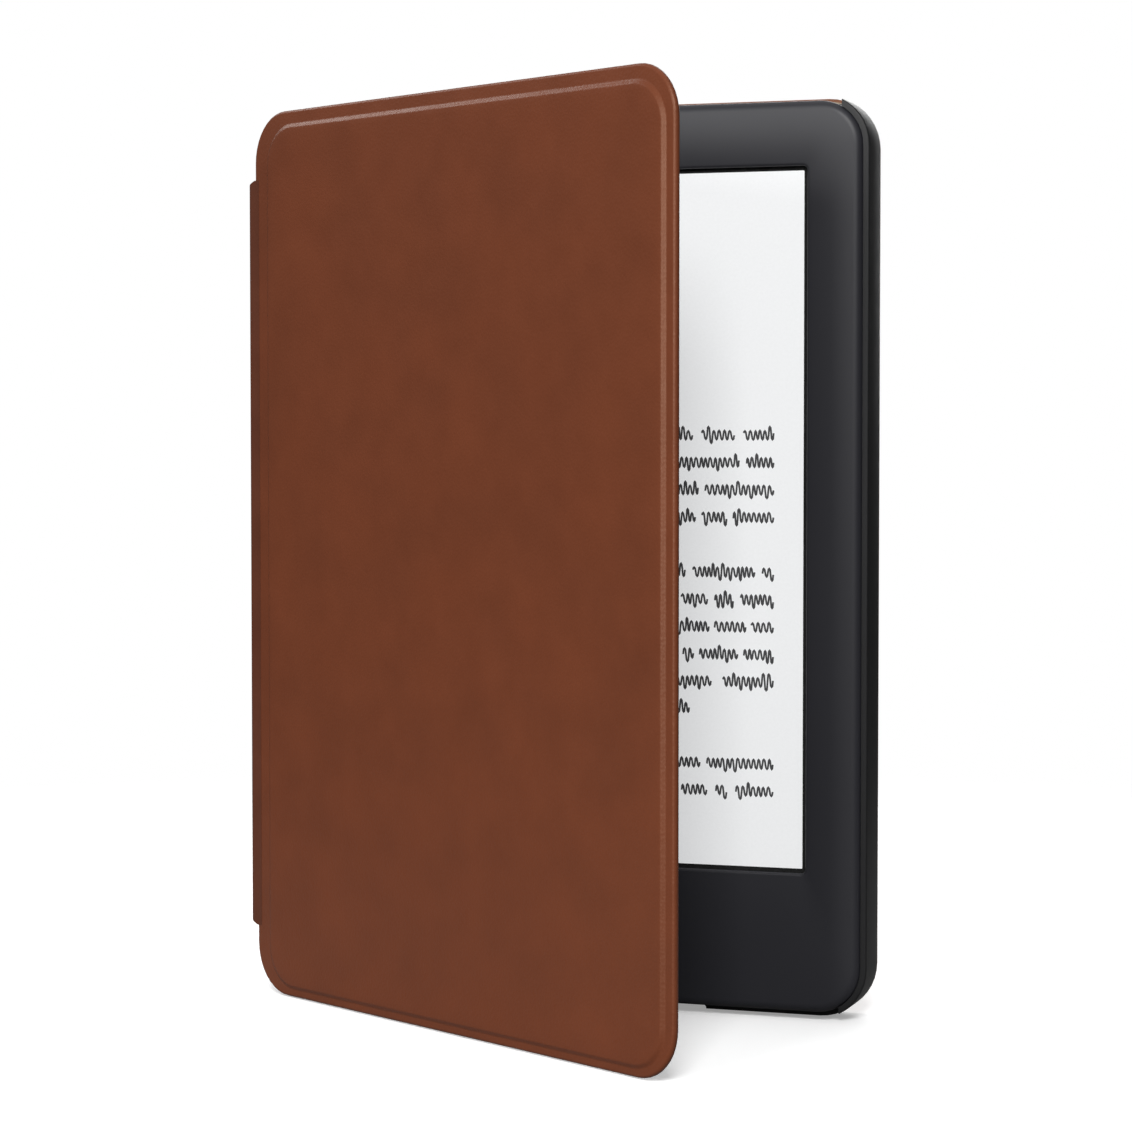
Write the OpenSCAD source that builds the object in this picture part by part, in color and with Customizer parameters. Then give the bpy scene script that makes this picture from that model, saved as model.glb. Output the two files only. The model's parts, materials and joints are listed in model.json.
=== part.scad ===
// E-reader clipped into a hard tray, with a slim leather folio cover hinged on its left side.
// Stands upright: X right, Y away from the reader's eye, Z up, floor at Z = 0.
// Origin: bottom middle of the folio's back panel, halfway through its thickness.
// Millimetres.

/* [E-reader housing] */
// Width of the e-reader
reader_w = 113; // [106:0.5:140]
// Height of the e-reader
reader_h = 160; // [133:0.5:195]
// Thickness of the e-reader
reader_t = 8.7; // [8.2:0.1:11]
// Corner radius of the e-reader
reader_r = 8; // [6:0.5:12]
// Rounding of the front edges
front_round = 1.6; // [1:0.1:2]
// Rounding of the back edges
back_round = 2.8; // [1.5:0.1:3.2]
// Wall thickness of the housing
wall = 1.2; // [1:0.1:1.5]
// Depth of the front frame's side, from the front to the parting line
frame_depth = 1.9; // [1.6:0.1:2.2]

/* [Screen] */
// Width of the housing beside the screen opening
side_bezel = 10.6; // [8:0.1:14]
// Height of the housing above the screen opening
top_bezel = 12.1; // [9:0.1:16]
// Height of the housing below the screen opening
chin_h = 25.3; // [21:0.1:31]
// Thickness of the front frame's plate
plate_t = 1; // [0.8:0.1:1.2]
// Width of the bevel around the screen opening
opening_bevel = 0.5; // [0.2:0.1:0.7]
// How far the screen layers reach past the opening
screen_lap = 3; // [2:0.2:4]
// Height of the panel's connector ledge below the opening
panel_ledge = 9; // [7:0.5:11]
// Thickness of the foam gasket
gasket_t = 0.2; // [0.15:0.05:0.3]
// Thickness of the touch sheet
touch_t = 0.3; // [0.2:0.05:0.4]
// Thickness of the light guide
guide_t = 0.5; // [0.4:0.05:0.6]
// Thickness of the display panel
panel_t = 1; // [0.8:0.1:1.2]
// Thickness of the middle frame
chassis_t = 0.8; // [0.6:0.1:1]

/* [Electronics] */
// Thickness of the main board
board_t = 0.8; // [0.6:0.1:1]
// Distance of the main board from the housing's side walls
board_margin = 7.3; // [5.5:0.1:9]
// Height of the main board
board_h = 40; // [39:0.5:48]
// Distance of the battery from the housing's side walls
battery_margin = 17.3; // [15:0.1:22]
// Distance of the battery from the housing's top wall
battery_top_gap = 25; // [20:0.5:32]
// Width of the charging port's shell
port_w = 7.6; // [7:0.1:9]
// Thickness of the charging port's shell
port_t = 2.5; // [2.3:0.1:2.7]
// Depth of the charging port's shell
port_d = 5.4; // [4.6:0.1:6]
// Distance of the power button from the middle
button_x = 14; // [12:0.5:20]
// Length of the power button
button_w = 9; // [7:0.2:11]
// Thickness of the power button
button_t = 2.2; // [1.8:0.1:2.4]
// Running clearance around the power button
button_gap = 0.1; // [0.08:0.01:0.2]
// Travel of the power button
button_travel = 0.3; // [0.2:0.05:0.4]
// How far the power button stands out
button_proud = 0.4; // [0.2:0.05:0.5]

/* [Tray] */
// Thickness of the tray's walls
tray_wall = 1; // [0.8:0.1:1.4]
// Thickness of the tray's floor
tray_floor = 1.2; // [1:0.1:1.6]
// Clearance between the e-reader and the tray
tray_gap = 0.1; // [0.05:0.01:0.2]
// Distance of the tray's front edge behind the e-reader's front
lip_back = 0.9; // [0.5:0.1:1.2]
// Width of the opening in the middle of the tray's bottom wall
tray_notch_w = 55; // [45:1:66]
// Height of the bottom wall, from the tray's back
bottom_wall = 6; // [4:0.5:8]
// Width of a corner clip, measured in from the side
clip_w = 5; // [4:0.5:7]

/* [Folio] */
// Thickness of the back panel
back_t = 1.5; // [1.2:0.1:2]
// How far the back panel is set in from the tray's sides
back_inset = 0.4; // [0.3:0.1:1]
// How far the back panel stands past the top of the tray
back_rise = 0; // [0:0.05:0.5]
// Height of the tray above the floor
tray_lift = 0.3; // [0.2:0.1:0.6]
// Thickness of the leather
leather_t = 0.5; // [0.4:0.05:0.6]
// How far the closed front cover reaches past the tray's right side
cover_reach = 0.4; // [0:0.1:1]
// Distance of the front cover's top below the tray's top
cover_drop = 0.5; // [0:0.1:1]
// Corner radius of the front cover
cover_r = 9; // [6:0.5:12]
// Thickness of the front cover at its rim
cover_t = 1.3; // [1.2:0.05:1.6]
// Thickness of the cover's lining
lining_t = 0.3; // [0.2:0.05:0.4]
// Width of the turned-in leather edge around the lining
turn_in = 4; // [3:0.5:6]
// Height of the padded field above the rim
field_rise = 0.6; // [0.4:0.05:0.8]
// Width of the slope around the padded field
field_slope = 0.9; // [0.6:0.1:1.4]
// Width of the rim above, below and to the right of the padded field
rim_w = 1.8; // [1.4:0.1:2.6]
// Width of the rim beside the spine
spine_rim_w = 3.9; // [3:0.1:5]
// Gap between the closed cover and the e-reader
closed_gap = 0.65; // [0.5:0.05:1]

/* [Spine] */
// Radius of the rolled leather fold at each hinge
fold_r = 0.65; // [0.5:0.05:0.75]
// Clearance between a fold and the panel beside it
fold_gap = 0.35; // [0.3:0.05:0.5]
// Clearance between the spine and the tray's side
spine_gap = 0.3; // [0.3:0.05:0.5]
// Distance of the spine's ends from the cover's ends
spine_inset = 13.3; // [10:0.1:20]
// Thickness of the spine's stiffener
stiffener_t = 0.25; // [0.2:0.05:0.3]
// Angle by which the front cover stands open
cover_angle = 30.8; // [0:0.1:150]

/* [Hidden] */
$fn = 48;
eps = 0.05;

// Stack from the back panel forwards, along -Y
tray_back_y = -back_t / 2;
tray_floor_y = tray_back_y - tray_floor;
reader_back_y = tray_floor_y - tray_gap;
reader_front_y = reader_back_y - reader_t;
parting_y = reader_front_y + frame_depth;
plate_y = reader_front_y + plate_t;
gasket_y = plate_y + gasket_t;
touch_y = gasket_y + touch_t;
guide_y = touch_y + guide_t;
panel_y = guide_y + panel_t;
chassis_y = panel_y + chassis_t;
inner_back_y = reader_back_y - wall;
cover_lining_y = reader_front_y - closed_gap;
cover_rim_y = cover_lining_y - cover_t;

// Heights
tray_w = reader_w + 2 * (tray_wall + tray_gap);
tray_h = reader_h + 2 * (tray_wall + tray_gap);
tray_r = reader_r + tray_wall + tray_gap;
reader_z = tray_lift + tray_wall + tray_gap;
tray_mid_z = tray_lift + tray_h / 2;
back_h = tray_lift + tray_h + back_rise;
back_w = tray_w - 2 * back_inset;
screen_z = reader_z + chin_h;
inner_w = reader_w - 2 * wall;
inner_h = reader_h - 2 * wall;
inner_r = reader_r - wall;

// Screen layers
screen_w = reader_w - 2 * side_bezel;
screen_h = reader_h - chin_h - top_bezel;
layer_w = screen_w + 2 * screen_lap;
layer_h = screen_h + 2 * screen_lap;
layer_z = screen_z - screen_lap;
screen_mid_z = screen_z + screen_h / 2;
panel_h = screen_h + screen_lap + panel_ledge;
panel_z = screen_z - panel_ledge;
panel_mid_z = panel_z + panel_h / 2;

// Main board, its port and its button
port_y = parting_y + port_t / 2 + 0.6;
board_y = port_y + port_t / 2;
board_back_y = board_y + board_t;
board_gap = board_y - chassis_y;
board_w = inner_w - 2 * board_margin;
board_z = reader_z + wall + 0.6;
board_mid_z = board_z + board_h / 2;
chassis_margin = 1.2;
chassis_w = inner_w - 2 * chassis_margin;
chassis_z = board_z + port_d + 0.8;
chassis_top = reader_z + reader_h - wall - chassis_margin;
chassis_h = chassis_top - chassis_z;
battery_t = inner_back_y - chassis_y - 0.4;
battery_z = board_z + board_h + 8;
battery_w = inner_w - 2 * battery_margin;
battery_h = reader_z + reader_h - wall - battery_top_gap - battery_z;
battery_plug_x = board_w / 2 - 12.5;
battery_plug_z = board_z + board_h - 6.5;
antenna_z = reader_z + reader_h - wall - 12;
antenna_front_y = inner_back_y - 0.5;
button_z = reader_z - button_proud;
button_flange_t = 0.6;
button_flange_lap = 0.8;
button_len = wall + button_proud + button_travel + 0.4;
switch_z = button_z + button_len + button_flange_t + 0.9;
plunger_len = 0.9;
switch_w = 4.2;
switch_h = 2.6;
switch_t = 1.6;
screw_r = 0.8;
screw_head_r = 1.4;
boss_r = 1.8;
boss_points = [[-board_w / 2 + 4, board_z + 4], [board_w / 2 - 4, board_z + 4],
               [-board_w / 2 + 4, board_z + board_h - 4], [board_w / 2 - 4, board_z + board_h - 4]];
shield_w = 34;
shield_h = 24;
shield_x = 26 - board_w / 2;
shield_z = board_z + 9;
shield_wall = 0.2;
shield_t = board_gap - 0.15;
display_plug_t = board_gap - 0.3;
display_plug_x = board_w / 2 - 26;

// Hinges
hinge_x = -(tray_w / 2 + spine_gap + 0.3);
spine_in_x = -(tray_w / 2 + spine_gap);
spine_out_x = hinge_x - fold_r - 0.1;
back_hinge_y = 0;
cover_hinge_y = cover_rim_y + leather_t;
cover_x0 = hinge_x + fold_r + fold_gap;
cover_w = tray_w / 2 + cover_reach - cover_x0;
cover_h = tray_lift + tray_h - cover_drop;
spine_z0 = spine_inset;
spine_z1 = cover_h - spine_inset;
spine_y0 = cover_hinge_y + fold_r + 0.35;
spine_y1 = back_hinge_y - fold_r - 0.35;

// Padded field of the cover
field_x0 = cover_x0 + spine_rim_w;
field_x1 = cover_x0 + cover_w - rim_w;
field_w = field_x1 - field_x0;
field_h = cover_h - 2 * rim_w;
field_r = cover_r - rim_w;
field_mid_x = (field_x0 + field_x1) / 2;
cover_mid_x = cover_x0 + cover_w / 2;
board_face_y = cover_rim_y + leather_t;
cover_board_t = cover_t - leather_t - lining_t;
magnet_w = 3;
magnet_h = 12;

// Rounded rectangle in the drawing plane, centred
module rounded_rect(w, h, r) {
    square([w - 2 * r, h], center = true);
    square([w, h - 2 * r], center = true);
    for (sx = [-1, 1], sy = [-1, 1])
        translate([sx * (w / 2 - r), sy * (h / 2 - r)]) circle(r);
}

// Upright plate with round corners, between two depths y0 < y1, centred on (x, z)
module plate(w, h, r, y0, y1, x = 0, z = 0) {
    translate([x, y1, z]) rotate([90, 0, 0]) linear_extrude(y1 - y0) rounded_rect(w, h, r);
}

// Plain block from low corner to high corner
module block(lo, hi) {
    translate(lo) cube(hi - lo);
}

// Upright box with round corners, whose front and back edges are rounded as well
module pillow(w, h, r, y0, y1, rf, rb, z) {
    hull() for (sx = [-1, 1], sz = [-1, 1])
        translate([sx * (w / 2 - r), 0, z + sz * (h / 2 - r)]) rotate([90, 0, 0]) {
            translate([0, 0, -y0 - rf]) rotate_extrude($fn = 32) translate([r - rf, 0]) circle(rf, $fn = 24);
            translate([0, 0, -y1 + rb]) rotate_extrude($fn = 32) translate([r - rb, 0]) circle(rb, $fn = 24);
        }
}

// Slot with round ends in the horizontal plane, centred, from z0 up to z1
module slot_bar(w, t, z0, z1, x, y) {
    translate([x, y, z0]) linear_extrude(z1 - z0) {
        square([w - t, t], center = true);
        for (s = [-1, 1]) translate([s * (w - t) / 2, 0]) circle(t / 2);
    }
}

module reader_body() {
    pillow(reader_w, reader_h, reader_r, reader_front_y, reader_back_y, front_round, back_round,
           reader_z + reader_h / 2);
}

module front_frame() {
    color("#2b2b2e") difference() {
        intersection() {
            reader_body();
            block([-reader_w, reader_front_y - 1, -1], [reader_w, parting_y, reader_h * 2]);
        }
        plate(inner_w, inner_h, inner_r, plate_y, parting_y + eps, 0, reader_z + reader_h / 2);
        plate(screen_w, screen_h, 0.5, reader_front_y - 1, plate_y + 1, 0, screen_mid_z);
        hull() {
            bevel_y = reader_front_y + opening_bevel;
            bevel_grow = 2 * opening_bevel + 2 * eps;
            plate(screen_w, screen_h, 0.5, bevel_y, bevel_y + eps, 0, screen_mid_z);
            plate(screen_w + bevel_grow, screen_h + bevel_grow, 1, reader_front_y - 2 * eps,
                  reader_front_y - eps, 0, screen_mid_z);
        }
    }
}

module rear_cover() {
    color("#1f1f21") difference() {
        intersection() {
            reader_body();
            block([-reader_w, parting_y, -1], [reader_w, 1, reader_h * 2]);
        }
        pillow(inner_w, inner_h, inner_r, reader_front_y, inner_back_y, front_round, back_round - wall,
               reader_z + reader_h / 2);
        slot_bar(port_w + 0.3, port_t + 0.3, 0, reader_z + wall + 1, 0, port_y);
        slot_bar(button_w + 2 * button_gap, button_t + 2 * button_gap, 0, reader_z + wall + 1, button_x,
                 port_y);
        translate([port_w, port_y, 0]) cylinder(r = 0.7, h = reader_z + wall + 1);
    }
}

module screen_gasket() {
    color("#333333") difference() {
        plate(layer_w, layer_h, 1.5, plate_y, gasket_y, 0, screen_mid_z);
        plate(screen_w + 1, screen_h + 1, 0.8, plate_y - 1, gasket_y + 1, 0, screen_mid_z);
    }
}

module touch_sheet() {
    color("#dddedb") plate(layer_w, layer_h, 1, gasket_y, touch_y, 0, screen_mid_z);
}

module light_guide() {
    color("#e6e8e8") plate(layer_w - 1, layer_h - 1, 1, touch_y, guide_y, 0, screen_mid_z);
}

module light_strip() {
    strip_z = layer_z - 4.5;
    color("#d9b65a") {
        block([-screen_w / 2, touch_y + 0.1, strip_z], [screen_w / 2, guide_y - 0.2, strip_z + 3]);
        for (i = [-1.5 : 1 : 1.5])
            translate([i * screen_w / 4, touch_y + 0.1, strip_z + 3])
                translate([-1.5, 0, 0]) cube([3, guide_t - 0.3, 1]);
    }
}

module display_panel() {
    color("#d8d8d4") plate(layer_w, panel_h, 0.6, guide_y, panel_y, 0, panel_mid_z);
}

module display_flex() {
    flex_w = 24;
    flex_t = 0.2;
    left = display_plug_x - flex_w / 2;
    low_z = chassis_z - 0.7;
    high_z = panel_z;
    plug_y = board_y - display_plug_t;
    color("#c07a2a") {
        block([left, panel_y - 0.6, low_z], [left + flex_w, panel_y - 0.6 + flex_t, high_z]);
        block([left, panel_y - 0.6, low_z], [left + flex_w, plug_y, low_z + flex_t]);
        block([left, plug_y - flex_t, low_z], [left + flex_w, plug_y, chassis_z + 8]);
    }
}

module middle_frame() {
    window_w = 26;
    color("#8f9296") difference() {
        union() {
            plate(chassis_w, chassis_h, 4, panel_y, chassis_y, 0, chassis_z + chassis_h / 2);
            for (p = boss_points) if (p[1] > chassis_z + boss_r)
                translate([p[0], board_y, p[1]]) rotate([90, 0, 0])
                    cylinder(r = boss_r, h = board_y - panel_y);
        }
        for (p = boss_points)
            translate([p[0], board_y + eps, p[1]]) rotate([90, 0, 0]) cylinder(r = screw_r, h = 1.6);
        for (sx = [-1, 1])
            block([sx * chassis_w / 4 - window_w / 2, panel_y - 1, battery_z + battery_h + 3],
                  [sx * chassis_w / 4 + window_w / 2, chassis_y + 1, battery_z + battery_h + 9]);
    }
}

module main_board() {
    color("#1d5b3a") difference() {
        plate(board_w, board_h, 1.5, board_y, board_back_y, 0, board_mid_z);
        for (p = boss_points)
            translate([p[0], board_back_y + 1, p[1]]) rotate([90, 0, 0])
                cylinder(r = screw_r, h = board_t + 2);
    }
}

// Flat package on the board's front side
module chip(x, z, w, h, t) {
    block([x - w / 2, board_y - t, z - h / 2], [x + w / 2, board_y, z + h / 2]);
}

module processor_chip() {
    color("#17181a") chip(shield_x - 6, shield_z + 12, 14, 14, 0.7);
}

module memory_chips() {
    color("#202124") for (s = [-1, 1]) chip(shield_x + 9, shield_z + 12 + s * 5.6, 10, 9, 0.65);
}

module power_chip() {
    color("#1b1b1e") chip(8, board_z + 20, 6, 6, 0.8);
}

module shield_can() {
    color("#b8bcc0") difference() {
        plate(shield_w, shield_h, 0.8, board_y - shield_t, board_y, shield_x, shield_z + shield_h / 2);
        plate(shield_w - 2 * shield_wall, shield_h - 2 * shield_wall, 0.6, board_y - shield_t + shield_wall,
              board_y + 1, shield_x, shield_z + shield_h / 2);
    }
}

module board_passives() {
    part_w = 1.6;
    color("#6b5a45") for (row = [0 : 2], col = [0 : 6])
        chip(6 + col * 4.2, board_z + 27 + row * 3.4, part_w, 0.9, 0.5);
}

module display_connector() {
    color("#e7e2d2") chip(display_plug_x, chassis_z + 5, 26, 4, display_plug_t);
}

module charging_port() {
    color("#b4b7ba") difference() {
        slot_bar(port_w, port_t, reader_z + 0.2, reader_z + 0.2 + port_d, 0, port_y);
        slot_bar(port_w - 0.6, port_t - 0.6, reader_z, reader_z + port_d - 0.4, 0, port_y);
    }
    color("#111111") block([-port_w / 4, port_y - 0.15, reader_z + 1], [port_w / 4, port_y + 0.35,
                           reader_z + port_d - 0.3]);
}

module wifi_antenna() {
    color("#c9a45c") block([inner_w / 2 - 30, antenna_front_y, antenna_z],
                           [inner_w / 2 - 8, antenna_front_y + 0.2, antenna_z + 8]);
}

module antenna_lead() {
    lead_x = battery_w / 2 + 8;
    lead_z = board_z + board_h - 3;
    lead_r = 0.5;
    color("#222222") {
        translate([lead_x, antenna_front_y - lead_r, lead_z])
            cylinder(r = lead_r, h = antenna_z + 2 - lead_z, $fn = 24);
        block([lead_x - 1.2, board_back_y, lead_z], [lead_x + 1.2, antenna_front_y - 0.1, lead_z + 2.4]);
    }
}

module battery() {
    color("#c3c6c9") plate(battery_w, battery_h, 2, chassis_y + 0.15, chassis_y + 0.15 + battery_t, 0,
                           battery_z + battery_h / 2);
}

module battery_tape() {
    color("#e0c14a") for (s = [-1, 1])
        block([s * battery_w / 4 - 6, chassis_y, battery_z + 8], [s * battery_w / 4 + 6, chassis_y + 0.15,
              battery_z + battery_h - 8]);
}

module battery_lead() {
    lead_gap = 1.3;
    color("#b02020") for (i = [-1, 0, 1])
        translate([battery_plug_x + i * lead_gap, board_y - board_gap / 2, battery_plug_z + 2])
            cylinder(r = board_gap / 3, h = battery_z - battery_plug_z - 2, $fn = 24);
}

module battery_connector() {
    color("#f0ece0") chip(battery_plug_x, battery_plug_z, 6, 4, board_gap - 0.1);
}

module hall_sensor() {
    color("#141416") block([board_w / 2 - 6, board_y - 0.7, board_z + board_h / 2],
                           [board_w / 2 - 3, board_y, board_z + board_h / 2 + 2]);
}

module status_light() {
    color("#9ec27a") translate([port_w, port_y, reader_z + 0.1]) cylinder(r = 0.55, h = 3.2);
}

module board_screws() {
    color("#9fa3a8") for (p = boss_points) translate([p[0], 0, p[1]]) rotate([90, 0, 0]) {
        translate([0, 0, -board_back_y - 0.5]) cylinder(r = screw_head_r, h = 0.5);
        translate([0, 0, -board_back_y]) cylinder(r = screw_r - 0.05, h = board_t + 1.2);
    }
}

module tact_switch() {
    color("#c8cacc") difference() {
        block([button_x - switch_w / 2, board_y - switch_t, switch_z],
              [button_x + switch_w / 2, board_y, switch_z + switch_h]);
        block([button_x - 1, board_y - switch_t / 2 - 0.5, switch_z - 1],
              [button_x + 1, board_y - switch_t / 2 + 0.5, switch_z + 1]);
    }
}

module switch_plunger() {
    color("#303032") block([button_x - 0.8, board_y - switch_t / 2 - 0.35, switch_z - plunger_len],
                           [button_x + 0.8, board_y - switch_t / 2 + 0.35, switch_z + 0.5]);
}

module power_button() {
    color("#19191b") {
        slot_bar(button_w, button_t, button_z, button_z + button_len, button_x, port_y);
        slot_bar(button_w + 2 * button_flange_lap, button_t, button_z + button_len,
                 button_z + button_len + button_flange_t, button_x, port_y);
    }
}

// Space that the e-reader takes in the tray. Its round front edge leaves the walls a holding lip
module tray_cavity() {
    pillow(reader_w + 2 * tray_gap, reader_h + 2 * tray_gap, reader_r + tray_gap, reader_front_y - tray_gap,
           tray_floor_y, front_round, back_round, reader_z + reader_h / 2);
}

module tray_shell() {
    front_y = reader_front_y + lip_back;
    clip_x = tray_w / 2 - clip_w;
    tray_top_z = tray_lift + tray_h;
    color("#1c1c1e") difference() {
        pillow(tray_w, tray_h, tray_r, front_y, tray_back_y, 0.4, 1.2, tray_mid_z);
        tray_cavity();
        // The top is open between its corner clips, down to the level of the e-reader's edge
        block([-clip_x, front_y - 1, tray_top_z - tray_r], [clip_x, tray_floor_y, tray_top_z + 1]);
        block([-clip_x, front_y - 1, tray_top_z - tray_wall - tray_gap], [clip_x, tray_back_y + 1,
              tray_top_z + 1]);
        block([-clip_x, front_y - 1, -1], [clip_x, tray_back_y - bottom_wall, tray_lift + tray_r]);
        block([-tray_notch_w / 2, front_y - 1, -1], [tray_notch_w / 2, tray_back_y + 1, reader_z]);
    }
}

module back_board() {
    color("#5d4a3c") plate(back_w - 2 * leather_t, back_h - 2 * leather_t, tray_r - leather_t, tray_back_y,
                           back_t / 2 - leather_t, 0, back_h / 2);
}

module back_leather() {
    color("#6b3c2a") difference() {
        plate(back_w, back_h, tray_r, tray_back_y, back_t / 2, 0, back_h / 2);
        plate(back_w - 2 * leather_t, back_h - 2 * leather_t, tray_r - leather_t, tray_back_y - 1,
              back_t / 2 - leather_t, 0, back_h / 2);
    }
}

// Upright strip of the spine
module spine_strip(x0, x1, y0, y1) {
    block([x0, y0, spine_z0], [x1, y1, spine_z1]);
}

module spine_leather() {
    color("#5d3626") {
        spine_strip(spine_out_x, spine_out_x + leather_t, cover_hinge_y, back_hinge_y);
        for (y = [cover_hinge_y, back_hinge_y])
            translate([hinge_x, y, spine_z0]) cylinder(r = fold_r, h = spine_z1 - spine_z0);
    }
}

module spine_stiffener() {
    color("#4a4038") spine_strip(spine_out_x + leather_t, spine_out_x + leather_t + stiffener_t, spine_y0,
                                 spine_y1);
}

module spine_lining() {
    color("#3a3634") spine_strip(spine_out_x + leather_t + stiffener_t, spine_in_x, spine_y0, spine_y1);
}

// Turns a piece drawn on the closed cover to the angle at which the cover stands open
module cover_pose() {
    translate([hinge_x, cover_hinge_y, 0]) rotate([0, 0, -cover_angle])
        translate([-hinge_x, -cover_hinge_y, 0]) children();
}

// Padded field grown by a margin, up to a height above the rim
module field(rise, margin) {
    hull() {
        plate(field_w + 2 * margin, field_h + 2 * margin, field_r + margin, cover_rim_y - eps, cover_rim_y,
              field_mid_x, cover_h / 2);
        plate(field_w + 2 * margin - 2 * field_slope, field_h + 2 * margin - 2 * field_slope,
              field_r + margin - field_slope, cover_rim_y - rise, cover_rim_y - rise + eps,
              field_mid_x, cover_h / 2);
    }
}

module cover_leather() {
    color("#6f402e") cover_pose() difference() {
        union() {
            plate(cover_w, cover_h, cover_r, cover_rim_y, cover_lining_y, cover_mid_x, cover_h / 2);
            field(field_rise, 0);
        }
        plate(cover_w - 2 * leather_t, cover_h - 2 * leather_t, cover_r - leather_t, board_face_y,
              cover_lining_y - lining_t, cover_mid_x, cover_h / 2);
        plate(cover_w - 2 * turn_in, cover_h - 2 * turn_in, cover_r - turn_in,
              cover_lining_y - lining_t - eps, cover_lining_y + 1, cover_mid_x, cover_h / 2);
        padding_block();
    }
}

// Foam under the padded field
module padding_block() {
    pad_inset = field_slope + 0.3;
    plate(field_w - 2 * pad_inset, field_h - 2 * pad_inset, field_r - pad_inset, board_face_y - field_rise,
          board_face_y, field_mid_x, cover_h / 2);
}

module cover_padding() {
    color("#d9d2c4") cover_pose() padding_block();
}

module cover_board() {
    color("#8a7a66") cover_pose() difference() {
        plate(cover_w - 2 * leather_t, cover_h - 2 * leather_t, cover_r - leather_t, board_face_y,
              board_face_y + cover_board_t, cover_mid_x, cover_h / 2);
        magnet_spaces(0.05);
    }
}

module cover_lining() {
    color("#3a3634") cover_pose()
        plate(cover_w - 2 * turn_in, cover_h - 2 * turn_in, cover_r - turn_in, cover_lining_y - lining_t,
              cover_lining_y, cover_mid_x, cover_h / 2);
}

// Upright bar magnet let into the cover's board, centred on (x, z)
module magnet(x, z, gap) {
    block([x - magnet_w / 2 - gap, board_face_y - gap, z - magnet_h / 2 - gap],
          [x + magnet_w / 2 + gap, board_face_y + cover_board_t + gap, z + magnet_h / 2 + gap]);
}

wake_x = board_w / 2 - 4.5;
wake_z = board_z + board_h / 2 + 1;
clasp_x = cover_x0 + cover_w - 9;

module clasp_pair(gap) {
    for (s = [-1, 1]) magnet(clasp_x, cover_h / 2 + s * cover_h / 4, gap);
}

module magnet_spaces(gap) {
    magnet(wake_x, wake_z, gap);
    clasp_pair(gap);
}

module wake_magnet() {
    color("#9a9da0") cover_pose() magnet(wake_x, wake_z, 0);
}

module closing_magnets() {
    color("#9a9da0") cover_pose() clasp_pair(0);
}

front_frame();
rear_cover();
screen_gasket();
touch_sheet();
light_guide();
light_strip();
display_panel();
display_flex();
middle_frame();
main_board();
processor_chip();
memory_chips();
power_chip();
shield_can();
board_passives();
display_connector();
charging_port();
wifi_antenna();
antenna_lead();
battery();
battery_tape();
battery_lead();
battery_connector();
hall_sensor();
status_light();
board_screws();
tact_switch();
switch_plunger();
power_button();
tray_shell();
back_board();
back_leather();
spine_leather();
spine_stiffener();
spine_lining();
cover_leather();
cover_padding();
cover_board();
cover_lining();
wake_magnet();
closing_magnets();
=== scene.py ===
"""Looks of an e-reader in a leather folio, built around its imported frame.

Sizes are in metres, in the frame's own axes: X right, Y away from the reader's eye, Z up.
"""

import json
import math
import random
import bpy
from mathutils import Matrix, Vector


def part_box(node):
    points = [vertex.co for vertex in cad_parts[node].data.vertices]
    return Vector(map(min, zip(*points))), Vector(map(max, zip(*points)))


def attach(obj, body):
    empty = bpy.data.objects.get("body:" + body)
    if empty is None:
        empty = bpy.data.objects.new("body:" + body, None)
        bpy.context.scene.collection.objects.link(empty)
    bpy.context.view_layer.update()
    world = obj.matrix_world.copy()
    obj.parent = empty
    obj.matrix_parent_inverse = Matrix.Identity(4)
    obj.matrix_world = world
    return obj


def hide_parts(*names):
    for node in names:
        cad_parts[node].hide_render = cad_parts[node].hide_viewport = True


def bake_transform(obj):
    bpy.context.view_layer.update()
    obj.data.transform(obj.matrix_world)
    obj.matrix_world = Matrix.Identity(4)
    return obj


bl_info = {
    "name": "Folio E-Reader",
    "version": (1, 0, 0),
    "blender": (4, 5, 0),
    "location": "3D View > Sidebar > Reader",
    "description": "Builds the visible pieces of an e-reader in a leather folio around its frame",
    "category": "Object",
}

import bmesh
import bpy
from bpy.props import (
    FloatProperty,
    FloatVectorProperty,
    IntProperty,
    PointerProperty,
    StringProperty,
)
from mathutils import Matrix, Vector
from mathutils.geometry import interpolate_bezier

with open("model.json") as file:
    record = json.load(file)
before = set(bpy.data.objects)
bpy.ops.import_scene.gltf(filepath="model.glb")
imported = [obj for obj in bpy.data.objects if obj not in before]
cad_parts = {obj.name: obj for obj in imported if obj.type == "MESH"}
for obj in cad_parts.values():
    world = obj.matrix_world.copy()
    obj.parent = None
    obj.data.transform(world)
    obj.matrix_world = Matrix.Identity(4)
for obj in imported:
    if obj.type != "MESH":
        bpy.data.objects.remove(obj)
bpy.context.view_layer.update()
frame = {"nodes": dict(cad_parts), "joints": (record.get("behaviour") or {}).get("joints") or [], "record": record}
JOINTS = {joint["name"]: joint for joint in frame["joints"]}
MM = 0.001
ARC = 10  # segments in a round corner seen from the front
EDGE = 5  # segments in the rounding of an edge
CREASE = math.radians(40)  # faces that meet at more than this are shaded with a sharp edge


# ---------------------------------------------------------------- places taken from the frame

SPINE_HINGE = Vector(JOINTS["spine_fold"]["pos_m"])
COVER_HINGE = Vector(JOINTS["cover_fold"]["pos_m"])
OPEN_ANGLE = math.radians(-JOINTS["cover_fold"]["range_deg"][0])
OPENING = (
    Matrix.Translation(COVER_HINGE)
    @ Matrix.Rotation(-OPEN_ANGLE, 4, "Z")
    @ Matrix.Translation(-COVER_HINGE)
)


def closed_box(node):
    """Lowest and highest corner that a node of the front cover has with the folio closed."""
    corners = [OPENING.inverted() @ v.co for v in frame["nodes"][node].data.vertices]
    return (
        Vector(min(c[i] for c in corners) for i in range(3)),
        Vector(max(c[i] for c in corners) for i in range(3)),
    )


# ---------------------------------------------------------------- shapes


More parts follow.
